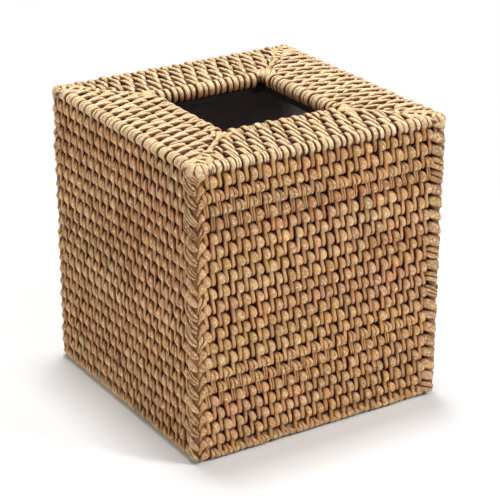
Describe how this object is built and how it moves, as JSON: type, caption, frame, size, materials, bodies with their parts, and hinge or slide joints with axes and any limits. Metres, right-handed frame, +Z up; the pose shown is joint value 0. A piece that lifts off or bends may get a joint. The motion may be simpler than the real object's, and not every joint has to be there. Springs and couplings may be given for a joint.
{
  "type": "tissue box cover",
  "caption": "Square woven rattan cover that drops over an upright box of tissues, with a bound rod frame, a square mouth in its mitred top, a dark lining and an open bottom.",
  "frame": {"origin": "on the floor, under the centre of the square plan", "axes": "+Z up; the front side faces -Y and the right side faces +X"},
  "size_m": [0.14, 0.14, 0.147],
  "materials": {
    "bound_rod": "satin",
    "rib_cane": "satin",
    "side_cane": "satin",
    "top_cane": "satin",
    "lining": "matte"
  },
  "bodies": {
    "root": {"corner_post_front_right": "bound_rod", "corner_post_back_right": "bound_rod", "corner_post_back_left": "bound_rod", "corner_post_front_left": "bound_rod", "top_rail_front": "bound_rod", "top_rail_right": "bound_rod", "top_rail_back": "bound_rod", "top_rail_left": "bound_rod", "bottom_rail_front": "bound_rod", "bottom_rail_right": "bound_rod", "bottom_rail_back": "bound_rod", "bottom_rail_left": "bound_rod", "rim_rail_front": "bound_rod", "rim_rail_right": "bound_rod", "rim_rail_back": "bound_rod", "rim_rail_left": "bound_rod", "mitre_strut_front_right": "bound_rod", "mitre_strut_back_right": "bound_rod", "mitre_strut_back_left": "bound_rod", "mitre_strut_front_left": "bound_rod", "side_ribs_front": "rib_cane", "side_ribs_right": "rib_cane", "side_ribs_back": "rib_cane", "side_ribs_left": "rib_cane", "top_ribs_front": "rib_cane", "top_ribs_right": "rib_cane", "top_ribs_back": "rib_cane", "top_ribs_left": "rib_cane", "side_strands_front": "side_cane", "side_strands_right": "side_cane", "side_strands_back": "side_cane", "side_strands_left": "side_cane", "top_strands_front": "top_cane", "top_strands_right": "top_cane", "top_strands_back": "top_cane", "top_strands_left": "top_cane", "liner_front": "lining", "liner_right": "lining", "liner_back": "lining", "liner_left": "lining", "liner_top": "lining"}
  },
  "joints": []
}
